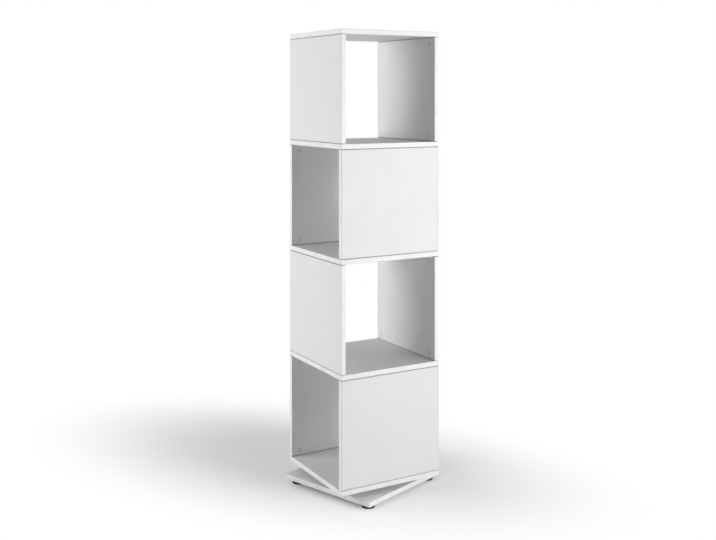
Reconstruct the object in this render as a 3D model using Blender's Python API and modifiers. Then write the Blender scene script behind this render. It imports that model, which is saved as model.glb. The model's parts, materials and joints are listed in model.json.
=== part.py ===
"""Rotating shelf unit: a tower of open compartments that turns on a square base plate.

The tower is a stack of square boards held apart by pairs of side panels. Each pair is turned by a
quarter turn from the pair below it, so the compartments open to the sides in turn. Cam fittings join
the panels to the boards: a bolt stands in the board and a round cam in the panel grips it. A ring
bearing lies between the base plate and the bottom board, and round feet carry the base plate.

Units are metres, +Z is up, and the origin is on the floor, on the axis that the tower turns about.
"""

import math
from collections import namedtuple

import bmesh
import bpy
from mathutils import Matrix, Vector

# Tower
TOWER_SIDE = 0.340        # outer width and depth
BOARD = 0.015             # thickness of the boards and side panels
CLEAR_HEIGHT = 0.320      # clear height of a compartment
LEVELS = 4                # compartments above each other

# Base plate
BASE_SIDE = 0.340         # width and depth
BASE_BOARD = 0.015        # thickness
BASE_TURN = math.radians(19.5)  # how far the base stands turned under the tower

# Feet
FOOT_DIAMETER = 0.040
FOOT_HEIGHT = 0.012
FOOT_EDGE = 0.0015        # chamfer on both rims
FOOT_INSET = 0.029        # foot centre to the two nearest edges of the base plate
PEG_DIAMETER = 0.008      # moulded peg that holds the foot in the base plate
PEG_FLOOR = 0.004         # board left above a peg hole

# Cam fittings
CAM_DIAMETER = 0.0145
CAM_FLOOR = 0.0025        # board left behind a cam
CAM_SINK = 0.0003         # cam face below the panel's inner face
CAM_END = 0.019           # cam axis to the end of its panel
CAM_EDGE = 0.028          # cam axis to the upright edge of its panel
BOLT_SHANK = 0.005        # bolt diameter inside the panel
BOLT_THREAD = 0.0064      # bolt diameter inside the board
BOLT_FLOOR = 0.004        # board left behind a bolt hole

# Ring bearing
RACE_RADIUS = 0.065       # circle of the ball centres
RING_WIDTH = 0.022        # flat width of each ring
RING_LIP = 0.0017         # least metal above and below a groove
RING_OFFSET = 0.001       # height by which the inner ring stands above the outer one
BALL_DIAMETER = 0.006
BALL_COUNT = 12
CAGE_WALL = 0.0008
CAGE_HEIGHT = 0.004
CAGE_CLEARANCE = 0.0006   # cage to each ring

# Bearing screws
SCREW_COUNT = 3           # for each ring
SCREW_DIAMETER = 0.004
SCREW_HEAD = 0.008        # diameter of the countersunk head
SCREW_POINT = 0.003       # length of the tapered point
SCREW_FLOOR = 0.002       # board left beyond a screw hole
DRIVER_HOLE = 0.012       # hole in the base plate that lets a screwdriver reach the inner ring

# Clearances
FIT_GAP = 0.0003          # between pieces that seat on or fit into each other
CUT_RUNOUT = 0.002        # how far a cutter stands out of the face that it cuts

# Facets of round shapes
CAM_SIDES = 12
HOLE_SIDES = 8
FOOT_SIDES = 24
RING_SIDES = 48
BALL_SIDES = 8
BALL_RINGS = 6
SMOOTH_ANGLE = math.radians(40.0)
MERGE_DISTANCE = 0.00001

# Heights and distances that follow from the sizes above
QUARTER_TURN = math.pi / 2.0
PITCH = CLEAR_HEIGHT + BOARD
PANEL_HEIGHT = CLEAR_HEIGHT - 2.0 * FIT_GAP
PANEL_OUT = (TOWER_SIDE - BOARD) / 2.0
CAM_ACROSS = TOWER_SIDE / 2.0 - CAM_EDGE
CAM_UP = PANEL_HEIGHT / 2.0 - CAM_END
BOLT_HOLE_DEPTH = BOARD - BOLT_FLOOR
PEG_HOLE_DEPTH = BASE_BOARD - PEG_FLOOR
RING_GAP = CAGE_WALL + 2.0 * CAGE_CLEARANCE
GROOVE_REACH = (BALL_DIAMETER / 2.0 + FIT_GAP) * math.sqrt(2.0)
GROOVE_HALF = GROOVE_REACH - RING_GAP / 2.0
RING_THICKNESS = 2.0 * (GROOVE_HALF + RING_LIP) + RING_OFFSET
SCREW_CIRCLE_OFFSET = (GROOVE_REACH + RING_GAP / 2.0 + RING_WIDTH) / 2.0
OUTER_SCREW_CIRCLE = RACE_RADIUS + SCREW_CIRCLE_OFFSET
INNER_SCREW_CIRCLE = RACE_RADIUS - SCREW_CIRCLE_OFFSET
BASE_BOTTOM = FOOT_HEIGHT + FIT_GAP
BASE_TOP = BASE_BOTTOM + BASE_BOARD
OUTER_RING_BOTTOM = BASE_TOP + FIT_GAP
INNER_RING_BOTTOM = OUTER_RING_BOTTOM + RING_OFFSET
BALL_LEVEL = OUTER_RING_BOTTOM + (RING_THICKNESS + RING_OFFSET) / 2.0
TOWER_BOTTOM = INNER_RING_BOTTOM + RING_THICKNESS + FIT_GAP

# Finishes: name, colour, roughness and metallic value
WHITE_BOARD = ("white_board", (0.90, 0.90, 0.89), 0.45, 0.0)
BLACK_PLASTIC = ("black_plastic", (0.02, 0.02, 0.02), 0.55, 0.0)
CAST_ZINC = ("cast_zinc", (0.55, 0.55, 0.56), 0.40, 1.0)
PLATED_STEEL = ("plated_steel", (0.65, 0.65, 0.66), 0.35, 1.0)
ALUMINIUM = ("aluminium", (0.75, 0.76, 0.77), 0.35, 1.0)

# Side panels: name, turn about the axis, and the names of the panel's two upright edges
SIDES = (
    ("front", 0.0, ("left", "right")),
    ("back", math.pi, ("right", "left")),
    ("left", -QUARTER_TURN, ("back", "front")),
    ("right", QUARTER_TURN, ("front", "back")),
)

UP = Vector((0.0, 0.0, 1.0))
DOWN = -UP
INTO_PANEL = Vector((0.0, -1.0, 0.0))  # from a panel's inner face into the board

Hole = namedtuple("Hole", "mouth inward diameter depth")


def clear_scene():
    """Remove every object of the open scene."""
    for old in list(bpy.data.objects):
        bpy.data.objects.remove(old, do_unlink=True)


def new_material(name, colour, roughness, metallic):
    """Plain material of one colour."""
    material = bpy.data.materials.new(name)
    material.use_nodes = True
    shader = material.node_tree.nodes["Principled BSDF"]
    shader.inputs["Base Color"].default_value = (*colour, 1.0)
    shader.inputs["Roughness"].default_value = roughness
    shader.inputs["Metallic"].default_value = metallic
    material.diffuse_color = (*colour, 1.0)
    return material


def made_of(mesh, material):
    """Give a mesh its material."""
    mesh.materials.clear()
    mesh.materials.append(material)
    return mesh


def mesh_from(bm, name):
    """Turn a bmesh into a mesh and free it."""
    mesh = bpy.data.meshes.new(name)
    bm.to_mesh(mesh)
    bm.free()
    return mesh


def evaluated(name, mesh, add_modifier):
    """Mesh that a modifier makes of a source mesh, which is used up."""
    carrier = bpy.data.objects.new(name, mesh)
    bpy.context.scene.collection.objects.link(carrier)
    add_modifier(carrier)
    graph = bpy.context.evaluated_depsgraph_get()
    result = bpy.data.meshes.new_from_object(carrier.evaluated_get(graph))
    bpy.data.objects.remove(carrier, do_unlink=True)
    bpy.data.meshes.remove(mesh)
    result.name = name
    return result


def combined(name, mesh, tool, operation):
    """Mesh cut by, or united with, a tool mesh, which is used up."""
    tool_object = bpy.data.objects.new(name + "_tool", tool)
    bpy.context.scene.collection.objects.link(tool_object)

    def add_boolean(carrier):
        boolean = carrier.modifiers.new("combine", "BOOLEAN")
        boolean.operation = operation
        boolean.solver = "EXACT"
        boolean.object = tool_object

    result = evaluated(name, mesh, add_boolean)
    bpy.data.objects.remove(tool_object, do_unlink=True)
    bpy.data.meshes.remove(tool)
    return result


def smoothed(mesh):
    """Shade a round mesh smooth, with its corners kept sharp."""
    mesh.shade_smooth()
    mesh.set_sharp_from_angle(angle=SMOOTH_ANGLE)
    return mesh


def block(name, width, depth, height):
    """Box centred on its origin."""
    bm = bmesh.new()
    bmesh.ops.create_cube(bm, size=1.0, matrix=Matrix.Diagonal((width, depth, height, 1.0)))
    return mesh_from(bm, name)


def add_rod(bm, centre, direction, diameter, length, sides):
    """Add a closed round rod to a bmesh."""
    turn = direction.to_track_quat("Z", "X").to_matrix().to_4x4()
    bmesh.ops.create_cone(
        bm,
        cap_ends=True,
        segments=sides,
        radius1=diameter / 2.0,
        radius2=diameter / 2.0,
        depth=length,
        matrix=Matrix.Translation(centre) @ turn,
    )


def drilled(name, mesh, holes, sides):
    """Mesh with round holes, each given by its mouth, inward direction, diameter and depth."""
    bm = bmesh.new()
    for hole in holes:
        centre = hole.mouth + hole.inward * (hole.depth - CUT_RUNOUT) / 2.0
        add_rod(bm, centre, hole.inward, hole.diameter, hole.depth + CUT_RUNOUT, sides)
    return combined(name, mesh, mesh_from(bm, name + "_drill"), "DIFFERENCE")


def turned(name, profile, sides, closed=False):
    """Solid turned about Z from a profile of radius and height, which runs down its outer side."""
    bm = bmesh.new()
    points = [bm.verts.new((radius, 0.0, height)) for radius, height in profile]
    for start, end in zip(points, points[1:]):
        bm.edges.new((start, end))
    if closed:
        bm.edges.new((points[-1], points[0]))

    def add_screw(carrier):
        screw = carrier.modifiers.new("turn", "SCREW")
        screw.steps = sides
        screw.render_steps = sides
        screw.use_merge_vertices = True
        screw.merge_threshold = MERGE_DISTANCE

    return smoothed(evaluated(name, mesh_from(bm, name + "_profile"), add_screw))


def circle_points(radius, count):
    """Points spread evenly round the axis, the first one on +X."""
    start = Vector((radius, 0.0, 0.0))
    return [Matrix.Rotation(math.tau * step / count, 3, "Z") @ start for step in range(count)]


def fitting_places():
    """Place across a side panel and end, -1 below and 1 above, of its four cam fittings."""
    return [(across, end) for end in (-1, 1) for across in (-CAM_ACROSS, CAM_ACROSS)]


def bolt_holes(on_top):
    """Bolt holes of a board: for front and back panels on its top, or left and right ones below."""
    side = UP if on_top else DOWN
    turn = Matrix.Rotation(0.0 if on_top else QUARTER_TURN, 3, "Z")
    holes = []
    for x in (-CAM_ACROSS, CAM_ACROSS):
        for y in (-PANEL_OUT, PANEL_OUT):
            mouth = turn @ Vector((x, y, 0.0)) + side * BOARD / 2.0
            holes.append(Hole(mouth, -side, BOLT_THREAD + 2.0 * FIT_GAP, BOLT_HOLE_DEPTH))
    return holes


def screw_holes(radius, height, inward, board):
    """Blind holes in a board for the screws of a bearing ring."""
    diameter = SCREW_DIAMETER + 2.0 * FIT_GAP
    points = circle_points(radius, SCREW_COUNT)
    return [Hole(point + UP * height, inward, diameter, board - SCREW_FLOOR) for point in points]


def foot_points():
    """Foot centres under the base plate, in plan, by the corner that they stand at."""
    reach = BASE_SIDE / 2.0 - FOOT_INSET
    return {
        "front_left": Vector((-reach, -reach, 0.0)),
        "front_right": Vector((reach, -reach, 0.0)),
        "back_right": Vector((reach, reach, 0.0)),
        "back_left": Vector((-reach, reach, 0.0)),
    }


def tower_board_mesh(name, holes):
    """Square board of the tower with its holes."""
    return drilled(name, block(name + "_blank", TOWER_SIDE, TOWER_SIDE, BOARD), holes, HOLE_SIDES)


def side_panel_mesh():
    """Side panel whose inner face looks along +Y, with four cam bores and four bolt holes."""
    cam_bores = []
    end_holes = []
    for across, end in fitting_places():
        cam = Vector((across, BOARD / 2.0, end * CAM_UP))
        cam_bores.append(Hole(cam, INTO_PANEL, CAM_DIAMETER + 2.0 * FIT_GAP, BOARD - CAM_FLOOR))
        mouth = Vector((across, 0.0, end * PANEL_HEIGHT / 2.0))
        end_holes.append(Hole(mouth, DOWN * end, BOLT_SHANK + 2.0 * FIT_GAP, CAM_END))
    blank = block("side_panel_blank", TOWER_SIDE, BOARD, PANEL_HEIGHT)
    bored = drilled("side_panel_bored", blank, cam_bores, CAM_SIDES)
    return drilled("side_panel", bored, end_holes, HOLE_SIDES)


def cam_fitting_mesh():
    """Cam with its axis on Y, gripping a bolt that stands up into the board above."""
    back = CAM_FLOOR + FIT_GAP - BOARD / 2.0
    face = BOARD / 2.0 - CAM_SINK
    middle = Vector((0.0, (back + face) / 2.0, 0.0))
    bm = bmesh.new()
    add_rod(bm, middle, INTO_PANEL, CAM_DIAMETER, face - back, CAM_SIDES)
    shoulder = CAM_END + FIT_GAP / 2.0
    tip = CAM_END + BOLT_HOLE_DEPTH
    profile = [
        (0.0, tip),
        (BOLT_THREAD / 2.0, tip),
        (BOLT_THREAD / 2.0, shoulder),
        (BOLT_SHANK / 2.0, shoulder),
        (BOLT_SHANK / 2.0, 0.0),
        (0.0, 0.0),
    ]
    bolt = turned("bolt", profile, HOLE_SIDES)
    return smoothed(combined("cam_fitting", mesh_from(bm, "cam"), bolt, "UNION"))


def base_plate_mesh():
    """Base plate with peg holes below, screw holes above and one hole for a screwdriver."""
    top = BASE_BOARD / 2.0
    holes = screw_holes(OUTER_SCREW_CIRCLE, top, DOWN, BASE_BOARD)
    for point in foot_points().values():
        holes.append(Hole(point + DOWN * top, UP, PEG_DIAMETER + 2.0 * FIT_GAP, PEG_HOLE_DEPTH))
    driver = Vector((-INNER_SCREW_CIRCLE, 0.0, top))
    holes.append(Hole(driver, DOWN, DRIVER_HOLE, BASE_BOARD + CUT_RUNOUT))
    blank = block("base_plate_blank", BASE_SIDE, BASE_SIDE, BASE_BOARD)
    return drilled("base_plate", blank, holes, HOLE_SIDES)


def foot_mesh():
    """Round foot with chamfered rims and a peg on top, standing on the origin."""
    radius = FOOT_DIAMETER / 2.0
    peg = PEG_DIAMETER / 2.0
    peg_top = BASE_BOTTOM + PEG_HOLE_DEPTH - FIT_GAP
    profile = [
        (0.0, peg_top),
        (peg, peg_top),
        (peg, FOOT_HEIGHT),
        (radius - FOOT_EDGE, FOOT_HEIGHT),
        (radius, FOOT_HEIGHT - FOOT_EDGE),
        (radius, FOOT_EDGE),
        (radius - FOOT_EDGE, 0.0),
        (0.0, 0.0),
    ]
    return turned("foot", profile, FOOT_SIDES)


def ring_section(side, groove):
    """Section of a ring, down its grooved side and back up: side 1 lies outside the balls, -1 inside."""
    face = RACE_RADIUS + side * RING_GAP / 2.0
    apex = RACE_RADIUS + side * GROOVE_REACH
    back = face + side * RING_WIDTH
    return [
        (face, RING_THICKNESS),
        (face, groove + GROOVE_HALF),
        (apex, groove),
        (face, groove - GROOVE_HALF),
        (face, 0.0),
        (back, 0.0),
        (back, RING_THICKNESS),
    ]


def countersink_mesh():
    """Cutter for a countersunk hole through a ring, with its mouth at the origin and the hole below."""
    head = SCREW_HEAD / 2.0 + FIT_GAP * math.sqrt(2.0)
    shank = SCREW_DIAMETER / 2.0 + FIT_GAP
    below = RING_THICKNESS + CUT_RUNOUT
    profile = [
        (0.0, CUT_RUNOUT),
        (head, CUT_RUNOUT),
        (head, 0.0),
        (shank, shank - head),
        (shank, -below),
        (0.0, -below),
    ]
    return turned("countersink", profile, HOLE_SIDES)


def countersunk(name, ring, radius, height, tilt):
    """Ring with countersunk holes, whose mouths lie at a height and look up, or down at a tilt of pi."""
    bm = bmesh.new()
    for point in circle_points(radius, SCREW_COUNT):
        cutter = countersink_mesh()
        cutter.transform(Matrix.Translation(point + UP * height) @ Matrix.Rotation(tilt, 4, "X"))
        bm.from_mesh(cutter)
        bpy.data.meshes.remove(cutter)
    return smoothed(combined(name, ring, mesh_from(bm, name + "_holes"), "DIFFERENCE"))


def outer_ring_mesh():
    """Fixed ring, grooved on its inside, standing on its own bottom face."""
    section = ring_section(1, (RING_THICKNESS + RING_OFFSET) / 2.0)
    ring = turned("outer_ring_blank", list(reversed(section)), RING_SIDES, closed=True)
    return countersunk("bearing_outer_ring", ring, OUTER_SCREW_CIRCLE, RING_THICKNESS, 0.0)


def inner_ring_mesh():
    """Turning ring, grooved on its outside, standing on its own bottom face."""
    section = ring_section(-1, (RING_THICKNESS - RING_OFFSET) / 2.0)
    ring = turned("inner_ring_blank", section, RING_SIDES, closed=True)
    return countersunk("bearing_inner_ring", ring, INNER_SCREW_CIRCLE, 0.0, math.pi)


def ball_cage_mesh():
    """Thin cage ring with the balls held in it, centred on the balls."""
    inner = RACE_RADIUS - CAGE_WALL / 2.0
    outer = RACE_RADIUS + CAGE_WALL / 2.0
    half = CAGE_HEIGHT / 2.0
    section = [(outer, half), (outer, -half), (inner, -half), (inner, half)]
    cage = turned("cage", section, RING_SIDES, closed=True)
    bm = bmesh.new()
    for point in circle_points(RACE_RADIUS, BALL_COUNT):
        bmesh.ops.create_uvsphere(
            bm,
            u_segments=BALL_SIDES,
            v_segments=BALL_RINGS,
            radius=BALL_DIAMETER / 2.0,
            matrix=Matrix.Translation(point),
        )
    return smoothed(combined("ball_cage", cage, mesh_from(bm, "balls"), "UNION"))


def ring_screw_mesh(board):
    """Countersunk screw through a ring into a board, head face at the origin and point below."""
    head = SCREW_HEAD / 2.0
    shank = SCREW_DIAMETER / 2.0
    tip = RING_THICKNESS + board - SCREW_FLOOR
    profile = [
        (0.0, 0.0),
        (head, 0.0),
        (shank, shank - head),
        (shank, SCREW_POINT - tip),
        (0.0, -tip),
    ]
    return turned("ring_screw", profile, HOLE_SIDES)


class Assembly:
    """Places finished meshes as named objects under empties that stand on the turning axis."""

    def __init__(self):
        self.parts = bpy.data.collections.new("rotating_shelf_unit")
        bpy.context.scene.collection.children.link(self.parts)
        self.base = self.axis("base_axis", BASE_TURN)
        self.cage = self.axis("cage_axis", 0.0)
        self.tower = self.axis("tower_axis", 0.0)

    def axis(self, name, turn):
        """Empty on the turning axis."""
        empty = bpy.data.objects.new(name, None)
        empty.rotation_euler = (0.0, 0.0, turn)
        self.parts.objects.link(empty)
        return empty

    def place(self, name, mesh, parent, location, rotation=(0.0, 0.0, 0.0)):
        """Named object of a mesh under its parent."""
        piece = bpy.data.objects.new(name, mesh)
        piece.parent = parent
        piece.location = location
        piece.rotation_euler = rotation
        self.parts.objects.link(piece)
        return piece


def add_base(assembly, board, plastic):
    """Base plate and its feet."""
    middle = UP * (BASE_BOTTOM + BASE_TOP) / 2.0
    assembly.place("base_plate", made_of(base_plate_mesh(), board), assembly.base, middle)
    foot = made_of(foot_mesh(), plastic)
    for corner, point in foot_points().items():
        assembly.place("foot_" + corner, foot, assembly.base, point)


def add_bearing(assembly, aluminium, steel):
    """Two rings and the balls between them."""
    outer_ring = made_of(outer_ring_mesh(), aluminium)
    inner_ring = made_of(inner_ring_mesh(), aluminium)
    balls = made_of(ball_cage_mesh(), steel)
    assembly.place("bearing_outer_ring", outer_ring, assembly.base, UP * OUTER_RING_BOTTOM)
    assembly.place("bearing_inner_ring", inner_ring, assembly.tower, UP * INNER_RING_BOTTOM)
    assembly.place("ball_cage", balls, assembly.cage, UP * BALL_LEVEL)


def add_bearing_screws(assembly, steel):
    """Screws of the outer ring, from above, and of the inner ring, from below."""
    base_screw = made_of(ring_screw_mesh(BASE_BOARD), steel)
    tower_screw = made_of(ring_screw_mesh(BOARD), steel)
    for number, point in enumerate(circle_points(OUTER_SCREW_CIRCLE, SCREW_COUNT), 1):
        head = point + UP * (OUTER_RING_BOTTOM + RING_THICKNESS)
        assembly.place(f"base_ring_screw_{number}", base_screw, assembly.base, head)
    upside_down = (math.pi, 0.0, 0.0)
    for number, point in enumerate(circle_points(INNER_SCREW_CIRCLE, SCREW_COUNT), 1):
        head = point + UP * INNER_RING_BOTTOM
        assembly.place(f"tower_ring_screw_{number}", tower_screw, assembly.tower, head, upside_down)


def add_boards(assembly, board):
    """Bottom board, shelves and top board, each a quarter turn from the one below."""
    under_screws = screw_holes(INNER_SCREW_CIRCLE, -BOARD / 2.0, UP, BOARD)
    bottom = tower_board_mesh("bottom_board", bolt_holes(True) + under_screws)
    shelf = tower_board_mesh("shelf", bolt_holes(True) + bolt_holes(False))
    top = tower_board_mesh("top_board", bolt_holes(False))
    stack = [("bottom_board", bottom)]
    stack += [(f"shelf_{level}", shelf) for level in range(1, LEVELS)]
    stack += [("top_board", top)]
    for level, (name, mesh) in enumerate(stack):
        middle = UP * (TOWER_BOTTOM + level * PITCH + BOARD / 2.0)
        turn = (0.0, 0.0, level % 2 * QUARTER_TURN)
        assembly.place(name, made_of(mesh, board), assembly.tower, middle, turn)


def add_side_panels(assembly, board, zinc):
    """Two opposite side panels on each level, with their cam fittings."""
    panel_mesh = made_of(side_panel_mesh(), board)
    fitting_mesh = made_of(cam_fitting_mesh(), zinc)
    for level in range(LEVELS):
        middle = UP * (TOWER_BOTTOM + BOARD + level * PITCH + CLEAR_HEIGHT / 2.0)
        for side, turn, edges in SIDES[:2] if level % 2 == 0 else SIDES[2:]:
            outward = Matrix.Rotation(turn, 3, "Z") @ Vector((0.0, -PANEL_OUT, 0.0))
            label = f"{level + 1}_{side}"
            spin = (0.0, 0.0, turn)
            panel = assembly.place("side_panel_" + label, panel_mesh, assembly.tower, outward + middle, spin)
            for across, end in fitting_places():
                height = "upper" if end > 0 else "lower"
                edge = edges[1] if across > 0 else edges[0]
                place = Vector((across, 0.0, end * CAM_UP))
                flip = (0.0, 0.0 if end > 0 else math.pi, 0.0)
                assembly.place(f"cam_fitting_{label}_{height}_{edge}", fitting_mesh, panel, place, flip)


def main():
    """Build the whole unit."""
    clear_scene()
    board = new_material(*WHITE_BOARD)
    plastic = new_material(*BLACK_PLASTIC)
    zinc = new_material(*CAST_ZINC)
    steel = new_material(*PLATED_STEEL)
    aluminium = new_material(*ALUMINIUM)
    assembly = Assembly()
    add_base(assembly, board, plastic)
    add_bearing(assembly, aluminium, steel)
    add_bearing_screws(assembly, steel)
    add_boards(assembly, board)
    add_side_panels(assembly, board, zinc)


main()
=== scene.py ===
"""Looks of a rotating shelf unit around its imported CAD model, laid out as a Blender add-on.

Every piece is modelled in place, rides on the CAD body that it belongs to and stands for one CAD node.
Places and main sizes come from the boxes of the CAD nodes. Units are metres, +Z is up, and the origin is
on the floor, on the axis that the tower turns about.
"""

import json
import math
from collections import namedtuple

import bmesh
import bpy
from bpy.props import FloatProperty, FloatVectorProperty, IntProperty, PointerProperty
from mathutils import Matrix, Vector


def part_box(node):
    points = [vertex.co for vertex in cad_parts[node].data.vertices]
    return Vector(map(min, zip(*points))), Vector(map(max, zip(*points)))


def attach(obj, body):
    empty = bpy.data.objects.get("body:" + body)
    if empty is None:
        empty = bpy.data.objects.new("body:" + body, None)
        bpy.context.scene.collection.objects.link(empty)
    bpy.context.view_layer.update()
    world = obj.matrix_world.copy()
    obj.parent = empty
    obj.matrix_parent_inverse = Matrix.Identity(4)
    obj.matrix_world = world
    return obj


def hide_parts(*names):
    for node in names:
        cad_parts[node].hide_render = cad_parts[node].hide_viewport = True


bl_info = {
    "name": "Rotating Shelf Unit",
    "version": (1, 0, 0),
    "blender": (4, 5, 0),
    "location": "3D View > Sidebar > Shelf Unit",
    "description": "Finished boards and fittings for the packed model of a rotating shelf unit",
    "category": "Object",
}

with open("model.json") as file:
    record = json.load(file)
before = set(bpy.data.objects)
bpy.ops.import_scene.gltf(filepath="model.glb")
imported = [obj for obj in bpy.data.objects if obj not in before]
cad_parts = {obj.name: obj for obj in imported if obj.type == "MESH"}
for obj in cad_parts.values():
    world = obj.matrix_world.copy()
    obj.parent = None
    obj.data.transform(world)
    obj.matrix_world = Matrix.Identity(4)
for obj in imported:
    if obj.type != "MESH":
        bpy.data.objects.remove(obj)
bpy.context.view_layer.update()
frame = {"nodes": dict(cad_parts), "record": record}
BODIES = frame["record"]["behaviour"]["bodies"]
BODY_OF = {node: body for body, nodes in BODIES.items() for node in nodes}
BASE_SCREWS = "base_ring_screw_"
TOWER_SCREWS = "tower_ring_screw_"

# Sizes that the CAD model has and that no node's box gives
FIT_GAP = 0.0003          # between pieces that seat on or fit into each other
BOLT_SHANK = 0.005        # diameter of a cam fitting's bolt inside the panel
BOLT_THREAD = 0.0064      # diameter of its thread inside the board
PEG_DIAMETER = 0.008      # peg on top of a foot
FOOT_HEIGHT = 0.012       # without the peg
DRIVER_HOLE = 0.012       # diameter of the hole in the base plate for a screwdriver
RACE_RADIUS = 0.065       # circle of the ball centres
RING_GAP = 0.002          # between the two bearing rings
RING_WIDTH = 0.022
BALL_RADIUS = 0.003
BALL_COUNT = 12
CAGE_WALL = 0.0008
CAGE_HEIGHT = 0.004
SCREW_HEAD = 0.008        # diameter of a ring screw's head
SCREW_THREAD = 0.004      # diameter of its thread
SCREW_POINT = 0.003       # length of its tapered point

# Small shapes that only the looks have
SEAT_REACH = 0.00025      # how far the raw ends of a side panel reach into the fit gap
GROOVE_SHARE = 0.62       # inner radius of a cam's ring groove as a share of the cam's radius
ARROW_SHARE = 0.4         # radius of a cam's arrow as a share of the rim that it lies on
ARROW_CORNERS = 3
CROSS_CELLS = 3           # cells along a side of the grid that a cross recess is made from
CROSS_TAPER = 0.6         # width of a cross recess at its floor as a share of that at its mouth

# Steps of round shapes
RING_STEPS = 96
FOOT_STEPS = 64
CAM_STEPS = 48
BOLT_STEPS = 20
BORE_STEPS = 48
BALL_STEPS = 20
BALL_RINGS = 12
ROUNDING_STEPS = 4
SOFT_STEPS = 2

# Limits used in modelling
SHARP_ANGLE = math.radians(40.0)     # between two faces whose edge is shaded sharp
SOFTEN_ANGLE = math.radians(30.0)    # between two faces whose edge may be rounded
MERGE_DISTANCE = 0.000002
CUT_RUNOUT = 0.002        # how far a cutter stands out of the face that it cuts
FLAT = 0.9999             # least share of a flat face's normal along its axis
# Faces sloped past this, the rounded end edges too, take the dark chipboard, which there is painted shade
# for the seam line.
RAW_SLOPE = 0.3           # least upward share of a normal on the sawn ends of a side panel

# Directions, and the axis along the width of a side panel and its turn from the front
QUARTER_TURN = math.pi / 2.0
DIAGONAL = math.sqrt(2.0)  # of a unit square, for flanks that slope by 45 degrees
UP = Vector((0.0, 0.0, 1.0))
AXES = (0, 1, 2)
WIDTH_AXIS = {"front": 0, "back": 0, "left": 1, "right": 1}
TURN_OF = {"front": 0.0, "back": math.pi, "left": -QUARTER_TURN, "right": QUARTER_TURN}

# Material slots of boards and of cam fittings, sockets of a colour mix, and names for materials
# The chipboard slot also carries painted shade on the rounded ends of the side panels.
# The glue slot also carries painted shade along the rounded edges of the boards.
FACE, BAND, GLUE_AND_SHADE, CHIP_AND_SHADE = range(4)
CASTING, STEEL = range(2)
MIX_FACTOR, MIX_A, MIX_B, MIX_RESULT = 0, 6, 7, 2
WEAR = "wear"
WHITE = (1.0, 1.0, 1.0, 1.0)
BLACK = (0.0, 0.0, 0.0, 1.0)

Bore = namedtuple("Bore", "mouth end diameter")
Fitting = namedtuple("Fitting", "node panel side centre upwards")
Cam = namedtuple("Cam", "radius back face tip")
Softbox = namedtuple("Softbox", "name azimuth elevation width height")

# Studio: softboxes by their angle from the front towards the right and their height angle, in degrees
LAMP_TARGET = Vector((0.0, 0.0, 0.7))
LAMP_DISTANCE = 3.0
SOFTBOXES = (
    Softbox("front", azimuth=22.0, elevation=4.0, width=1.3, height=1.1),
    Softbox("front_right", azimuth=51.0, elevation=26.0, width=1.2, height=1.2),
    Softbox("front_left", azimuth=315.0, elevation=4.0, width=1.2, height=1.2),
    Softbox("left", azimuth=245.0, elevation=4.0, width=1.6, height=1.1),
    Softbox("high_left", azimuth=231.0, elevation=26.0, width=1.2, height=1.2),
    Softbox("right", azimuth=90.0, elevation=8.0, width=1.2, height=1.2),
    Softbox("top", azimuth=0.0, elevation=90.0, width=1.4, height=1.4),
)

# Camera of the photograph
CAMERA_LENS = 50.62       # millimetres, as the sensor
CAMERA_SENSOR = 36.0
CAMERA_SHIFT = -0.2441    # share of the image's width
CAMERA_PLACE = Vector((-1.5709, -2.7215, 1.2023))
CAMERA_TURN = math.radians(-29.72)


def length(name, description, default, limits):
    """Length property with its least and greatest value."""
    least, greatest = limits
    return FloatProperty(
        name=name, description=description, default=default, min=least, max=greatest,
        precision=5, unit="LENGTH")


def share(name, description, default, greatest=1.0):
    """Share property with its greatest value."""
    return FloatProperty(
        name=name, description=description, default=default, min=0.0, max=greatest, subtype="FACTOR")


def power(name, description, default):
    """Power property of a lamp."""
    return FloatProperty(
        name=name, description=description, default=default, min=0.0, max=500.0, unit="POWER")


def colour(name, description, default):
    """Colour property of a finish."""
    return FloatVectorProperty(
        name=name, description=description, default=default, min=0.0, max=1.0, subtype="COLOR")


class BoardSizes(bpy.types.PropertyGroup):
    """Sizes of the finish on boards and panels."""

    edge_rounding: length("Edge rounding", "Radius along the edges of every board", 0.0014, (0.0002, 0.003))
    seam_height: length(
        "Seam height", "Height of the seam that a side panel leaves against a board", 0.0004, (0.0, 0.002))
    seam_depth: length("Seam depth", "Depth of that seam behind the panel's faces", 0.0025, (0.0015, 0.005))
    band_margin: length(
        "Band margin", "Flat strip of the edge band beside the rounding", 0.0002, (0.00005, 0.001))
    # Glue line: also painted shade, wider and darker than glue alone, standing in for the shade along the
    # rounded edges.
    glue_line: length(
        "Glue line", "Width of the line between the edge band and the face", 0.0007, (0.00005, 0.001))
    wear_margin: length("Wear margin", "Strip along the edges that shows handling", 0.004, (0.001, 0.006))


class FittingSizes(bpy.types.PropertyGroup):
    """Sizes of the small shapes on fittings, feet and bearing."""

    cam_softness: length("Cam softness", "Rounding on the edges of a cam", 0.0002, (0.00005, 0.0004))
    cam_groove: length(
        "Cam groove", "Width and twice the depth of the ring groove in a cam", 0.0009, (0.0006, 0.0015))
    cam_recess: length("Cam recess", "Width of the cross recess in a cam", 0.0066, (0.004, 0.008))
    screw_recess: length("Screw recess", "Width of the cross recess in a screw", 0.0046, (0.003, 0.006))
    thread_pitch: length("Thread pitch", "Distance between two crests of a thread", 0.0016, (0.001, 0.003))
    thread_depth: length("Thread depth", "Height of a thread's crest", 0.0006, (0.0002, 0.001))
    foot_rounding: length("Foot rounding", "Radius on the rims of a foot", 0.0014, (0.0005, 0.002))
    sole_height: length(
        "Sole height", "Height of the groove between a foot and its sole", 0.0034, (0.0025, 0.006))
    sole_groove: length("Sole groove", "Width and depth of that groove", 0.0005, (0.0002, 0.001))
    ring_softness: length(
        "Ring softness", "Rounding on the edges of the bearing rings", 0.0004, (0.0001, 0.0006))


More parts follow.
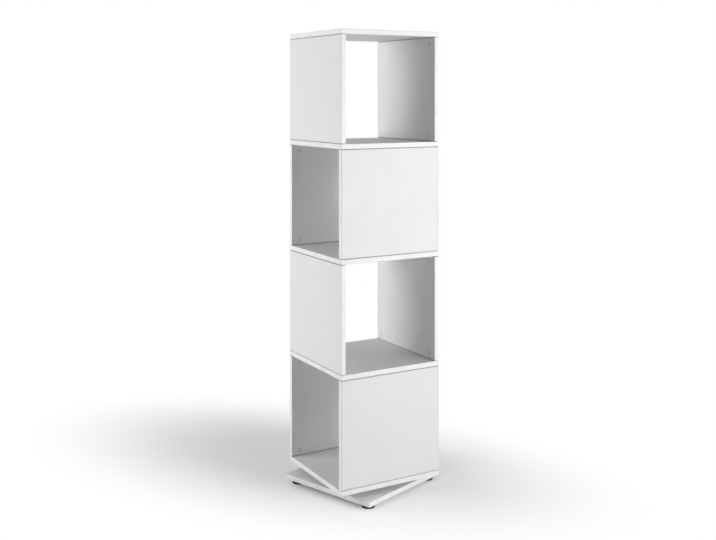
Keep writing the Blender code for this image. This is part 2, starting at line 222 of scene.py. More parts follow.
class FinishColours(bpy.types.PropertyGroup):
    """Colours of the finishes."""

    face: colour("Face", "White of the boards' faces", (0.80, 0.80, 0.798))
    face_cloud: colour("Face cloud", "Tone that clouds the faces a little", (0.785, 0.785, 0.782))
    band: colour("Edge band", "White of the boards' edges", (0.885, 0.885, 0.882))
    worn: colour("Worn edge", "Tone of rubbed spots along the edges", (0.70, 0.695, 0.68))
    # Glue line tone: dark enough to be painted shade along the rounded edges as well as glue.
    glue: colour("Glue line", "Line between edge band and face", (0.32, 0.316, 0.308))
    # Chipboard tones: kept neutral, as on the rounded panel ends they are painted shade for the seam line.
    chip_light: colour("Chipboard light", "Light chips in bores and on raw ends", (0.335, 0.315, 0.285))
    chip_dark: colour("Chipboard dark", "Dark chips in bores and on raw ends", (0.145, 0.134, 0.12))
    plastic: colour("Plastic", "Black of the feet", (0.007, 0.007, 0.007))
    plastic_dust: colour("Plastic dust", "Dusty tone on the feet", (0.018, 0.0178, 0.0172))
    zinc: colour("Zinc", "Light tone of the cams", (0.75, 0.75, 0.76))
    zinc_dark: colour("Zinc dark", "Dark tone of the cams", (0.65, 0.65, 0.66))
    steel: colour("Steel", "Plated screws, bolts and balls", (0.70, 0.70, 0.69))
    steel_dark: colour("Steel dark", "Dull spots of the plating", (0.55, 0.55, 0.55))
    aluminium: colour("Aluminium", "Bearing rings", (0.74, 0.745, 0.75))
    aluminium_dark: colour("Aluminium dark", "Lathe lines on the rings", (0.58, 0.585, 0.59))
    floor: colour("Floor", "Pale studio floor", (0.70, 0.70, 0.70))


class StageLight(bpy.types.PropertyGroup):
    """Light and floor of the studio."""

    front_power: power("Front power", "Large softbox in front, a little to the right", 54.8)
    front_right_power: power("Front right power", "Higher softbox at the front right", 14.5)
    front_left_power: power("Front left power", "Weak softbox at the front left", 9.4)
    left_power: power("Left power", "Wide softbox on the left, a little to the rear", 48.1)
    high_left_power: power("High left power", "Higher softbox at the rear left", 13.9)
    right_power: power("Right power", "Weak softbox on the right", 12.0)
    top_power: power("Top power", "Weak softbox above the unit", 15.0)
    floor_radius: length("Floor radius", "Radius of the round studio floor", 12.0, (2.0, 40.0))
    floor_segments: IntProperty(
        name="Floor segments", description="Corners of the round floor", default=96, min=12, max=256)
    # Painted light: the floor glows for what the camera sees, by floor_white inside the oval and up to plain
    # white outside it, and not at all under and beside the base plate.
    floor_white: share(
        "Floor white", "White that the camera sees on the floor on top of its own tone", 0.27)
    oval_centre: FloatVectorProperty(
        name="Oval centre", description="Middle of the oval of floor that keeps its own tone and shadow",
        default=(-0.06, 0.255, 0.0), subtype="TRANSLATION")
    oval_turn: FloatProperty(
        name="Oval turn", description="Angle of the oval's long axis, which lies along the shadow",
        default=math.radians(-55.6), subtype="ANGLE")
    oval_length: length(
        "Oval length", "Half length of the oval, outside which the floor is plain white", 1.14, (0.4, 8.0))
    oval_width: length("Oval width", "Half width of the oval", 0.60, (0.4, 8.0))
    oval_core: share("Oval core", "Share of the oval inside which no white is mixed in", 0.23, 0.95)
    strip_inset: FloatVectorProperty(
        name="Strip inset",
        description="How far inside the base plate's sides the floor starts to turn white",
        default=(0.04, 0.065, 0.0), min=0.0, max=0.15, subtype="XYZ", unit="LENGTH")
    strip_width: length("Strip width", "Width of the strip over which it does so", 0.08, (0.001, 0.5))


def opaque(tone):
    """Colour of a tone with its alpha."""
    return (*tone, 1.0)


class NodeTree:
    """Node tree under construction."""

    def __init__(self, tree):
        self.tree = tree

    def feed(self, socket, value):
        """Give a socket an output or a plain value."""
        if isinstance(value, bpy.types.NodeSocket):
            self.tree.links.new(value, socket)
        else:
            socket.default_value = value

    def add(self, kind, sockets, **settings):
        """Outputs of a new node with its settings made and its sockets fed."""
        node = self.tree.nodes.new(kind)
        for name, value in settings.items():
            setattr(node, name, value)
        for socket, value in sockets.items():
            self.feed(node.inputs[socket], value)
        return node.outputs

    def number(self, operation, first, second):
        """Result of one step of arithmetic."""
        return self.add("ShaderNodeMath", {0: first, 1: second}, operation=operation)["Value"]

    def seen_directly(self):
        """Number that is 1 for what the camera, a reflection or glass shows, and 0 for light on surfaces."""
        rays = self.add("ShaderNodeLightPath", {})
        mirrored = self.number("MAXIMUM", rays["Is Glossy Ray"], rays["Is Transmission Ray"])
        return self.number("MAXIMUM", rays["Is Camera Ray"], mirrored)


class Finish(NodeTree):
    """Node material under construction, with its shader and Object coordinates."""

    def __init__(self, name):
        self.material = bpy.data.materials.new(name)
        self.material.use_nodes = True
        super().__init__(self.material.node_tree)
        self.shader = self.tree.nodes["Principled BSDF"]
        self.place = self.add("ShaderNodeTexCoord", {})["Object"]

    def set(self, socket, value):
        """Give a socket of the shader an output or a plain value."""
        self.feed(self.shader.inputs[socket], value)

    def noise(self, scale, detail=2.0):
        """Even noise with a number of patches for each metre."""
        sockets = {"Vector": self.place, "Scale": scale, "Detail": detail}
        return self.add("ShaderNodeTexNoise", sockets)["Fac"]

    def chips(self, scale):
        """Random value for each cell of a cell pattern."""
        return self.add("ShaderNodeTexVoronoi", {"Vector": self.place, "Scale": scale})["Color"]

    def rings(self, scale, distortion, detail):
        """Fine rings about the turning axis."""
        sockets = {"Vector": self.place, "Scale": scale, "Distortion": distortion, "Detail": detail}
        return self.add("ShaderNodeTexWave", sockets, wave_type="RINGS", rings_direction="Z")["Fac"]

    def attribute(self, name):
        """Number that the mesh carries."""
        return self.add("ShaderNodeAttribute", {}, attribute_name=name)["Fac"]

    def ramp(self, value, low, high, start=0.35, end=0.65):
        """Colour that goes from one tone to another between two values."""
        tone = self.add("ShaderNodeValToRGB", {"Fac": value})["Color"]
        first, last = tone.node.color_ramp.elements
        first.position, first.color = start, opaque(low)
        last.position, last.color = end, opaque(high)
        return tone

    def span(self, value, low, high, from_low=0.3, from_high=0.7, course="LINEAR"):
        """Number moved from one range to another."""
        limits = {"From Min": from_low, "From Max": from_high, "To Min": low, "To Max": high}
        sockets = {"Value": value, **limits}
        return self.add("ShaderNodeMapRange", sockets, interpolation_type=course)["Result"]

    def mix(self, factor, first, second):
        """Colour between two colours."""
        sockets = {MIX_FACTOR: factor, MIX_A: first, MIX_B: second}
        return self.add("ShaderNodeMix", sockets, data_type="RGBA")[MIX_RESULT]

    def own_place(self, turn, centre=(0.0, 0.0, 0.0), size=(1.0, 1.0, 1.0)):
        """Object coordinates turned by an angle, from a centre and counted in a size."""
        sockets = {"Vector": self.place, "Location": centre, "Rotation": UP * turn, "Scale": size}
        return self.add("ShaderNodeMapping", sockets, vector_type="TEXTURE")["Vector"]

    def vector(self, operation, value, other=(0.0, 0.0, 0.0)):
        """Result of one step of vector arithmetic."""
        outputs = self.add("ShaderNodeVectorMath", {0: value, 1: other}, operation=operation)
        return outputs["Value" if operation == "LENGTH" else "Vector"]

    def gloss(self, scale, smooth, rough, detail=2.0):
        """Let the roughness change in patches between two values."""
        self.set("Roughness", self.span(self.noise(scale, detail), smooth, rough))

    def relief(self, height, depth, strength=0.5):
        """Give the surface small bumps of a real depth."""
        sockets = {"Height": height, "Distance": depth, "Strength": strength}
        self.set("Normal", self.add("ShaderNodeBump", sockets)["Normal"])


def rubbed(finish, tone, worn, scale):
    """Tone with rubbed spots where the mesh says that it is worn."""
    spots = finish.span(finish.noise(scale, detail=4.0), low=0.0, high=0.6, from_low=0.55, from_high=0.75)
    amount = finish.number("MULTIPLY", spots, finish.attribute(WEAR))
    return finish.mix(amount, tone, opaque(worn))


def melamine_face(finish, colours):
    """Resin-coated face: a hardly clouded white with a fine pearl grain."""
    tone = finish.ramp(finish.noise(scale=7.0, detail=3.0), colours.face_cloud, colours.face)
    finish.set("Base Color", rubbed(finish, tone, colours.worn, scale=90.0))
    finish.gloss(scale=18.0, detail=3.0, smooth=0.46, rough=0.56)
    finish.relief(finish.noise(scale=1100.0), depth=0.00003)


def edge_band(finish, colours):
    """Plastic edging: a cleaner and slightly smoother white, rubbed in places."""
    clouds = finish.noise(scale=30.0, detail=3.0)
    tone = finish.ramp(clouds, colours.face, colours.band, start=0.2, end=0.5)
    finish.set("Base Color", rubbed(finish, tone, colours.worn, scale=120.0))
    finish.gloss(scale=45.0, smooth=0.44, rough=0.54)
    finish.relief(finish.noise(scale=700.0), depth=0.00002)


def glue_line(finish, colours):
    """Line of glue between the edging and the face, made dark and wide enough to be painted shade along the
    rounded edge as well.
    """
    patches = finish.noise(scale=300.0)
    finish.set("Base Color", finish.ramp(patches, colours.glue, colours.face_cloud, start=0.4, end=0.9))
    finish.gloss(scale=300.0, smooth=0.5, rough=0.7)
    finish.relief(finish.noise(scale=900.0), depth=0.00002)


def raw_chipboard(finish, colours):
    """Bare wood chips on the wall of a bore and on the ends of a side panel; on the panel's rounded end
    edges a neutral dark that is painted shade for the seam line.
    """
    chips = finish.chips(scale=650.0)
    finish.set("Base Color", finish.ramp(chips, colours.chip_dark, colours.chip_light, start=0.15, end=0.85))
    finish.gloss(scale=400.0, smooth=0.8, rough=0.95)
    finish.relief(finish.noise(scale=900.0), depth=0.0002, strength=0.8)


def moulded_plastic(finish, colours):
    """Black plastic with a fine spark-eroded grain and a little dust."""
    dust = finish.noise(scale=120.0, detail=4.0)
    tone = finish.ramp(dust, colours.plastic, colours.plastic_dust, start=0.5, end=0.8)
    finish.set("Base Color", rubbed(finish, tone, colours.plastic_dust, scale=260.0))
    finish.gloss(scale=150.0, detail=3.0, smooth=0.42, rough=0.6)
    finish.relief(finish.noise(scale=1800.0), depth=0.00004, strength=0.6)


def zinc_casting(finish, colours):
    """Die-cast zinc: dull grey metal with a fine skin."""
    skin = finish.noise(scale=450.0, detail=4.0)
    finish.set("Base Color", finish.ramp(skin, colours.zinc_dark, colours.zinc))
    finish.set("Metallic", 0.4)
    finish.gloss(scale=600.0, detail=3.0, smooth=0.45, rough=0.6)
    finish.relief(finish.noise(scale=1500.0), depth=0.00003)


def steel_plating(finish, colours):
    """Zinc-plated steel with dull spots."""
    spots = finish.noise(scale=500.0, detail=3.0)
    finish.set("Base Color", finish.ramp(spots, colours.steel_dark, colours.steel, start=0.3, end=0.55))
    finish.set("Metallic", 1.0)
    finish.gloss(scale=700.0, detail=3.0, smooth=0.2, rough=0.36)
    finish.relief(finish.noise(scale=1600.0), depth=0.00001)


def turned_aluminium(finish, colours):
    """Aluminium with the fine rings that a lathe leaves."""
    rings = finish.rings(scale=260.0, distortion=1.5, detail=2.0)
    tone = finish.ramp(rings, colours.aluminium_dark, colours.aluminium, start=0.0, end=0.6)
    finish.set("Base Color", tone)
    finish.set("Metallic", 1.0)
    finish.gloss(scale=200.0, detail=3.0, smooth=0.28, rough=0.4)
    finish.relief(rings, depth=0.00001)


def finishes(*makers):
    """Materials in slot order, each made once under its maker's name."""
    for maker in makers:
        if maker.__name__ not in bpy.data.materials:
            maker(Finish(maker.__name__), bpy.context.scene.finish_colours)
    return [bpy.data.materials[maker.__name__] for maker in makers]


def board_finishes():
    """Finishes of a board in slot order: face, band, glue line that is also painted shade, chipboard that is
    also painted shade at the seams.
    """
    return finishes(melamine_face, edge_band, glue_line, raw_chipboard)


def fitting_finishes():
    """Finishes of a cam fitting in the order CASTING, STEEL."""
    return finishes(zinc_casting, steel_plating)


def mesh_of(bm, name, materials, slot=None):
    """Mesh of a bmesh, which is freed, with materials in slot order. A given slot takes all faces."""
    if slot is not None:
        for face in bm.faces:
            face.material_index = slot
    mesh = bpy.data.meshes.new(name)
    for material in materials:
        mesh.materials.append(material)
    bm.to_mesh(mesh)
    bm.free()
    return mesh


def placed(name, data):
    """New object of the scene that holds a mesh, a lamp or a camera."""
    thing = bpy.data.objects.new(name, data)
    bpy.context.scene.collection.objects.link(thing)
    return thing


def combined(mesh, tool, operation):
    """Mesh cut by, or united with, a tool mesh. Both are used up."""
    carrier = placed("carrier", mesh)
    tool_object = placed("tool", tool)
    boolean = carrier.modifiers.new("combine", "BOOLEAN")
    boolean.operation = operation
    boolean.solver = "EXACT"
    boolean.material_mode = "INDEX"
    boolean.object = tool_object
    graph = bpy.context.evaluated_depsgraph_get()
    result = bpy.data.meshes.new_from_object(carrier.evaluated_get(graph))
    for part in (carrier, tool_object):
        bpy.data.objects.remove(part, do_unlink=True)
    for used in (mesh, tool):
        bpy.data.meshes.remove(used)
    return result


def cleaned(mesh):
    """Mesh with its doubles merged, and smooth but for its sharp edges."""
    bm = bmesh.new()
    bm.from_mesh(mesh)
    bmesh.ops.remove_doubles(bm, verts=bm.verts, dist=MERGE_DISTANCE)
    bmesh.ops.dissolve_degenerate(bm, dist=MERGE_DISTANCE, edges=bm.edges)
    bm.to_mesh(mesh)
    bm.free()
    mesh.shade_smooth()
    mesh.set_sharp_from_angle(angle=SHARP_ANGLE)
    return mesh


def settle(mesh, node, finish_word):
    """Piece of a finished mesh that rides on a node's body and stands for the node."""
    piece = placed(f"{node}_{finish_word}", cleaned(mesh))
    mesh.name = piece.name
    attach(piece, BODY_OF[node])
    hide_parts(node)


def mark_wear(mesh, is_worn):
    """Write on every point of a mesh whether it shows handling."""
    wear = mesh.attributes.new(WEAR, "FLOAT", "POINT")
    for vertex in mesh.vertices:
        wear.data[vertex.index].value = float(is_worn(vertex.co))


def rotation(angle, axis="Z"):
    """Matrix of 4 x 4 that turns about an axis through the origin."""
    return Matrix.Rotation(angle, 4, axis)


def at_height(point, height):
    """Point above or below another one."""
    return Vector((point.x, point.y, height))


def turned(profile, steps, closed=False):
    """Bmesh turned about Z from a profile of radius and height."""
    bm = bmesh.new()
    points = [bm.verts.new((radius, 0.0, height)) for radius, height in profile]
    lines = [bm.edges.new(pair) for pair in zip(points, points[1:])]
    if closed:
        lines.append(bm.edges.new((points[-1], points[0])))
    bmesh.ops.spin(
        bm, geom=points + lines, cent=Vector(), axis=UP, angle=math.tau, steps=steps, use_merge=True)
    bmesh.ops.remove_doubles(bm, verts=bm.verts, dist=MERGE_DISTANCE)
    bmesh.ops.recalc_face_normals(bm, faces=bm.faces)
    return bm


def sharp_edges(bm):
    """Edges of a bmesh that may be rounded."""
    return [edge for edge in bm.edges if edge.calc_face_angle(0.0) > SOFTEN_ANGLE]


def round_edges(bm, edges, radius, steps, clamp=False):
    """Round edges of a bmesh. With clamp, by less where they would overlap."""
    bmesh.ops.bevel(
        bm, geom=edges, offset=radius, offset_type="OFFSET", segments=steps, profile=0.5,
        affect="EDGES", material=-1, clamp_overlap=clamp)


def add_prism(bm, place, corners, radius, depth):
    """Add a closed prism or round bar at the place that a matrix gives."""
    bmesh.ops.create_cone(
        bm, cap_ends=True, segments=corners, radius1=radius, radius2=radius, depth=depth, matrix=place)


def bored(mesh, bores):
    """Board with round bores cut into it."""
    bm = bmesh.new()
    for mouth, end, diameter in bores:
        start = mouth - (end - mouth).normalized() * CUT_RUNOUT
        line = end - start
        aim = line.to_track_quat("Z", "X").to_matrix().to_4x4()
        place = Matrix.Translation((start + end) / 2.0) @ aim
        add_prism(bm, place, BORE_STEPS, diameter / 2.0, line.length)
    return combined(mesh, mesh_of(bm, "bores", board_finishes(), CHIP_AND_SHADE), "DIFFERENCE")


def inset(bm, faces, margin):
    """Draw faces in by a margin and give back the strips round them."""
    return bmesh.ops.inset_individual(bm, faces=faces, thickness=margin, use_even_offset=True)["faces"]


def add_seats(bm, ends, sizes):
    """Raw seats on the ends of a side panel, stepped back behind its faces. The dark chipboard on the
    rounded end edges is painted shade along the seam.
    """
    # Dark chipboard on the ends and their rounded edges: raw wood, and painted shade along the seam.
    for face in bm.faces:
        if abs(face.normal.z) > RAW_SLOPE:
            face.material_index = CHIP_AND_SHADE
    inset(bm, ends, sizes.seam_depth - sizes.edge_rounding)
    for seat in bmesh.ops.extrude_discrete_faces(bm, faces=ends)["faces"]:
        seat.normal_update()
        bmesh.ops.translate(bm, verts=seat.verts, vec=seat.normal * (sizes.seam_height + SEAT_REACH))


def board_blank(name, low, high, sizes, seated):
    """Board between two corners with rounded edges, bands, glue lines that are also painted shade, and seats
    if asked for.
    """
    extent = high - low
    thin = min(AXES, key=lambda axis: extent[axis])
    bm = bmesh.new()
    place = Matrix.Translation((low + high) / 2.0) @ Matrix.Diagonal((*extent, 1.0))
    bmesh.ops.create_cube(bm, size=1.0, matrix=place)
    round_edges(bm, bm.edges[:], sizes.edge_rounding, ROUNDING_STEPS)
    for face in bm.faces:
        face.material_index = BAND
    flats = [face for face in bm.faces if max(abs(part) for part in face.normal) > FLAT]
    if seated:
        add_seats(bm, [face for face in flats if abs(face.normal.z) > FLAT], sizes)
        flats = [face for face in flats if face.is_valid and abs(face.normal.z) < FLAT]
    inset(bm, flats, sizes.band_margin)
    mains = [face for face in flats if abs(face.normal[thin]) > FLAT]
    glue = inset(bm, mains, sizes.glue_line)
    margins = inset(bm, flats, sizes.wear_margin)
    # Glue strips, which are also painted shade along the rounded edges.
    for face in glue:
        face.material_index = GLUE_AND_SHADE
    for face in mains + margins:
        if abs(face.normal[thin]) > FLAT:
            face.material_index = FACE
    return mesh_of(bm, name, board_finishes())


def add_board(node, low, high, cuts, seated=False, turn=0.0):
    """Board of a node between two corners, with its bores cut and then turned about Z."""
    sizes = bpy.context.scene.board_sizes
    margin = sizes.edge_rounding + sizes.band_margin + sizes.glue_line

    def along_edge(point):
        """Whether a point lies close to two sides of the board."""
        near = [axis for axis in AXES if min(point[axis] - low[axis], high[axis] - point[axis]) < margin]
        return len(near) > 1

    mesh = board_blank(node, low, high, sizes, seated)
    for bores in cuts:
        mesh = bored(mesh, bores)
    mark_wear(mesh, along_edge)
    mesh.transform(rotation(turn))
    settle(mesh, node, "faced")


def middle(node):
    """Centre of a CAD node's box."""
    low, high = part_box(node)
    return (low + high) / 2.0


def nodes_named(start):
    """CAD nodes whose names begin with the same words, in order."""
    return sorted(node for node in frame["nodes"] if node.startswith(start))


def fittings_of(panel):
    """Cam fittings of a side panel, centred where the axes of cam and bolt cross."""
    label = panel.removeprefix("side_panel_")
    side = label.split("_")[-1]
    across = WIDTH_AXIS[side]
    found = []
    for node in nodes_named(f"cam_fitting_{label}_"):
        low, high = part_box(node)
        radius = (high[across] - low[across]) / 2.0
        upwards = "_upper_" in node
        centre = middle(panel)
        centre[across] = middle(node)[across]
        centre.z = low.z + radius if upwards else high.z - radius
        found.append(Fitting(node, panel, side, centre, upwards))
    return found


def all_fittings():
    """Cam fittings of all side panels."""
    return [fitting for panel in nodes_named("side_panel_") for fitting in fittings_of(panel)]


def stand(fitting):
    """Matrix from a fitting's own frame to its place: +Y into the compartment, +Z along the bolt."""
    flip = rotation(0.0 if fitting.upwards else math.pi, "Y")
    return Matrix.Translation(fitting.centre) @ rotation(TURN_OF[fitting.side]) @ flip


def cam_of(fitting):
    """Cam of a fitting and the tip of its bolt, in the fitting's own frame."""
    to_own = stand(fitting).inverted()
    corners = [to_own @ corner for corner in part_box(fitting.node)]
    radius = abs(corners[0].x - corners[1].x) / 2.0
    back, face = sorted(corner.y for corner in corners)
    return Cam(radius, back, face, tip=max(corner.z for corner in corners))


def panel_end(fitting):
    """Height of the panel's end that a fitting holds."""
    low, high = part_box(fitting.panel)
    return high.z if fitting.upwards else low.z


def clear(diameter):
    """Diameter of the bore that a round piece fits into."""
    return diameter + 2.0 * FIT_GAP


def panel_cuts(panel):
    """Bores of a side panel: first those of the cams, then those of their bolts."""
    cams = []
    bolts = []
    for fitting in fittings_of(panel):
        cam = cam_of(fitting)
        place = stand(fitting)
        mouth = place @ Vector((0.0, cam.face + FIT_GAP, 0.0))
        end = place @ Vector((0.0, cam.back - FIT_GAP, 0.0))
        cams.append(Bore(mouth, end, clear(2.0 * cam.radius)))
        edge = at_height(fitting.centre, panel_end(fitting))
        bolts.append(Bore(edge, fitting.centre, clear(BOLT_SHANK)))
    return [cams, bolts]


def bolt_bores(board):
    """Bores in a tower board for the bolts that reach into it."""
    low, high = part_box(board)
    bores = []
    for fitting in all_fittings():
        tip = stand(fitting) @ (UP * (cam_of(fitting).tip + FIT_GAP))
        if low.z < tip.z < high.z:
            mouth = at_height(tip, low.z if fitting.upwards else high.z)
            bores.append(Bore(mouth, tip, clear(BOLT_THREAD)))
    return bores


def driven_up(screw):
    """Whether a ring screw is driven up into the tower and not down into the base."""
    return BODY_OF[screw] == "tower"


def screw_bores(screws, board):
    """Bores in a board for ring screws, which are given by the start of their names."""
    low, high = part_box(board)
    bores = []
    for screw in nodes_named(screws):
        lowest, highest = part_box(screw)
        mouth = at_height(middle(screw), low.z if driven_up(screw) else high.z)
        end = at_height(middle(screw), highest.z if driven_up(screw) else lowest.z)
        bores.append(Bore(mouth, end, clear(SCREW_THREAD)))
    return bores


def cross_cutter(width, depth, height):
    """Bmesh of a tapered cross that cuts a driver recess down from a height."""
    arm = width / CROSS_CELLS / 2.0
    bm = bmesh.new()
    bmesh.ops.create_grid(bm, x_segments=CROSS_CELLS, y_segments=CROSS_CELLS, size=width / 2.0)
    corners = [face for face in bm.faces
               if abs(face.calc_center_median().x) > arm and abs(face.calc_center_median().y) > arm]
    bmesh.ops.delete(bm, geom=corners, context="FACES")
    top = bm.faces[:]
    bmesh.ops.translate(bm, verts=bm.verts, vec=UP * (height + CUT_RUNOUT))
    down = bmesh.ops.extrude_face_region(bm, geom=top)
    low_points = [part for part in down["geom"] if isinstance(part, bmesh.types.BMVert)]
    bmesh.ops.translate(bm, verts=low_points, vec=-UP * (depth + CUT_RUNOUT))
    bmesh.ops.scale(bm, verts=low_points, vec=(CROSS_TAPER, CROSS_TAPER, 1.0))
    bmesh.ops.recalc_face_normals(bm, faces=bm.faces)
    return bm


def threaded(tip, end, crest, sizes):
    """Profile points of a thread that runs down from its tip to its end."""
    core = crest - sizes.thread_depth
    pitch = sizes.thread_pitch
    turns = int((tip - end) / pitch)
    points = []
    for turn in range(turns):
        points.append((core, tip - turn * pitch))
        points.append((crest, tip - (turn + 0.5) * pitch))
    points.append((core, tip - turns * pitch))
    return points


class SHELF_OT_tower_boards(bpy.types.Operator):
    """Make the bottom board, the shelves and the top board"""

    bl_idname = "shelf.tower_boards"
    bl_label = "Tower Boards"

    def execute(self, context):
        for node in ["bottom_board", *nodes_named("shelf_"), "top_board"]:
            low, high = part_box(node)
            cuts = [bolt_bores(node)]
            if node == "bottom_board":
                cuts.append(screw_bores(TOWER_SCREWS, node))
            add_board(node, low, high, cuts)
        return {"FINISHED"}


class SHELF_OT_side_panels(bpy.types.Operator):
    """Make the two side panels of each compartment"""

    bl_idname = "shelf.side_panels"
    bl_label = "Side Panels"

    def execute(self, context):
        seam = UP * context.scene.board_sizes.seam_height
        for node in nodes_named("side_panel_"):
            low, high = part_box(node)
            add_board(node, low + seam, high - seam, panel_cuts(node), seated=True)
        return {"FINISHED"}


def base_turn():
    """Angle that the base plate stands turned by, from the line of its two front feet."""
    line = middle("foot_front_right") - middle("foot_front_left")
    return math.atan2(line.y, line.x)


def plate_half():
    """Half the base plate's side."""
    low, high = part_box("base_plate")
    turn = base_turn()
    return (high.x - low.x) / (math.cos(turn) + math.sin(turn)) / 2.0


class SHELF_OT_base_plate(bpy.types.Operator):
    """Make the base plate with its bores"""

    bl_idname = "shelf.base_plate"
    bl_label = "Base Plate"

    def execute(self, context):
        node = "base_plate"
        low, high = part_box(node)
        unturn = rotation(-base_turn())
        pegs = []
        for foot in nodes_named("foot_"):
            peg = unturn @ middle(foot)
            _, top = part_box(foot)
            pegs.append(Bore(at_height(peg, low.z), at_height(peg, top.z + FIT_GAP), clear(PEG_DIAMETER)))
        screws = []
        for mouth, end, diameter in screw_bores(BASE_SCREWS, node):
            screws.append(Bore(unturn @ mouth, unturn @ end, diameter))
        driver = Vector((-middle("tower_ring_screw_1").x, 0.0, high.z))
        through = [Bore(driver, at_height(driver, low.z - CUT_RUNOUT), DRIVER_HOLE)]
        corner = Vector((plate_half(), plate_half(), 0.0))
        cuts = [pegs, screws, through]
        add_board(node, UP * low.z - corner, UP * high.z + corner, cuts, turn=base_turn())
        return {"FINISHED"}


def foot_mesh(radius, peg_top, sizes):
    """Foot with a sole groove and rounded rims, standing on the origin."""
    peg = PEG_DIAMETER / 2.0
    groove = sizes.sole_groove
    inner = radius - groove
    profile = [
        (0.0, peg_top),
        (peg, peg_top),
        (peg, FOOT_HEIGHT),
        (radius, FOOT_HEIGHT),
        (radius, sizes.sole_height + groove),
        (inner, sizes.sole_height + groove),
        (inner, sizes.sole_height),
        (radius, sizes.sole_height),
        (radius, 0.0),
        (0.0, 0.0),
    ]
    bm = turned(profile, FOOT_STEPS)

    def on_rim(point):
        """Whether a point lies on the outer circle of the sole or of the top."""
        beside = abs(point.co.xy.length - radius)
        above = min(point.co.z, FOOT_HEIGHT - point.co.z)
        return max(beside, above) < MERGE_DISTANCE

    rims = [edge for edge in sharp_edges(bm) if all(on_rim(point) for point in edge.verts)]
    round_edges(bm, rims, sizes.foot_rounding, ROUNDING_STEPS)
    mesh = mesh_of(bm, "foot", finishes(moulded_plastic))
    mark_wear(mesh, lambda point: point.xy.length > radius - 2.0 * sizes.foot_rounding)
    return mesh


class SHELF_OT_feet(bpy.types.Operator):
    """Make the four feet"""

    bl_idname = "shelf.feet"
    bl_label = "Feet"

    def execute(self, context):
        for node in nodes_named("foot_"):
            centre = at_height(middle(node), 0.0)
            points = frame["nodes"][node].data.vertices
            radius = max((vertex.co - centre).xy.length for vertex in points)
            _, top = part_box(node)
            mesh = foot_mesh(radius, top.z, context.scene.fitting_sizes)
            mesh.transform(Matrix.Translation(centre))
            settle(mesh, node, "moulded")
        return {"FINISHED"}


def cam_mesh(cam, sizes):
    """Cam with its axis on Y: a ring groove, a cross recess and an arrow towards the bolt in its face."""
    materials = fitting_finishes()
    inner = cam.radius * GROOVE_SHARE
    outer = inner + sizes.cam_groove
    floor = cam.face - sizes.cam_groove / 2.0
    profile = [
        (0.0, cam.face),
        (inner, cam.face),
        (inner, floor),
        (outer, floor),
        (outer, cam.face),
        (cam.radius, cam.face),
        (cam.radius, cam.back),
        (0.0, cam.back),
    ]
    bm = turned(profile, CAM_STEPS)
    round_edges(bm, sharp_edges(bm), sizes.cam_softness, SOFT_STEPS, clamp=True)
    mesh = mesh_of(bm, "cam", materials, CASTING)
    cross = cross_cutter(sizes.cam_recess, cam.face / 2.0, cam.face)
    mesh = combined(mesh, mesh_of(cross, "cross", materials, CASTING), "DIFFERENCE")
    arrow = bmesh.new()
    place = Matrix.Translation((0.0, -(cam.radius + outer) / 2.0, cam.face)) @ rotation(math.pi)
    add_prism(arrow, place, ARROW_CORNERS, (cam.radius - outer) * ARROW_SHARE, sizes.cam_groove)
    mesh = combined(mesh, mesh_of(arrow, "arrow", materials, CASTING), "DIFFERENCE")
    mesh.transform(rotation(-QUARTER_TURN, "X"))
    return mesh


def bolt_mesh(shoulder, tip, sizes):
    """Bolt of a cam fitting that stands up along Z, with its thread at the top."""
    crest = BOLT_THREAD / 2.0
    shank = BOLT_SHANK / 2.0
    collar = shoulder + sizes.thread_pitch
    profile = [
        (0.0, tip),
        *threaded(tip, collar, crest, sizes),
        (crest, collar),
        (crest, shoulder),
        (shank, shoulder),
        (shank, 0.0),
        (0.0, 0.0),
    ]
    return mesh_of(turned(profile, BOLT_STEPS), "bolt", fitting_finishes(), STEEL)


class SHELF_OT_cam_fittings(bpy.types.Operator):
    """Make the cam fittings that hold the side panels to the boards"""

    bl_idname = "shelf.cam_fittings"
    bl_label = "Cam Fittings"

    def execute(self, context):
        sizes = context.scene.fitting_sizes
        fittings = all_fittings()
        first = fittings[0]
        cam = cam_of(first)
        shoulder = abs(panel_end(first) - first.centre.z) + FIT_GAP / 2.0
        shape = combined(cam_mesh(cam, sizes), bolt_mesh(shoulder, cam.tip, sizes), "UNION")
        for fitting in fittings:
            mesh = shape.copy()
            mesh.transform(stand(fitting))
            settle(mesh, fitting.node, "cast")
        bpy.data.meshes.remove(shape)
        return {"FINISHED"}


def ring_mesh(node, side, sizes):
    """Bearing ring with its ball groove: side 1 lies outside the balls, -1 inside."""
    low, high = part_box(node)
    groove = middle("ball_cage").z
    reach = (BALL_RADIUS + FIT_GAP) * DIAGONAL
    half = reach - RING_GAP / 2.0
    face = RACE_RADIUS + side * RING_GAP / 2.0
    back = face + side * RING_WIDTH
    profile = [
        (face, high.z),
        (face, groove + half),
        (RACE_RADIUS + side * reach, groove),
        (face, groove - half),
        (face, low.z),
        (back, low.z),
        (back, high.z),
    ]
    bm = turned(profile, RING_STEPS, closed=True)
    round_edges(bm, sharp_edges(bm), sizes.ring_softness, SOFT_STEPS, clamp=True)
    return mesh_of(bm, node, finishes(turned_aluminium))


def head_place(screw):
    """Matrix that takes a screw with its head at the origin and its point below to its place."""
    low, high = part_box(screw)
    head = at_height(middle(screw), low.z if driven_up(screw) else high.z)
    return Matrix.Translation(head) @ rotation(math.pi if driven_up(screw) else 0.0, "X")


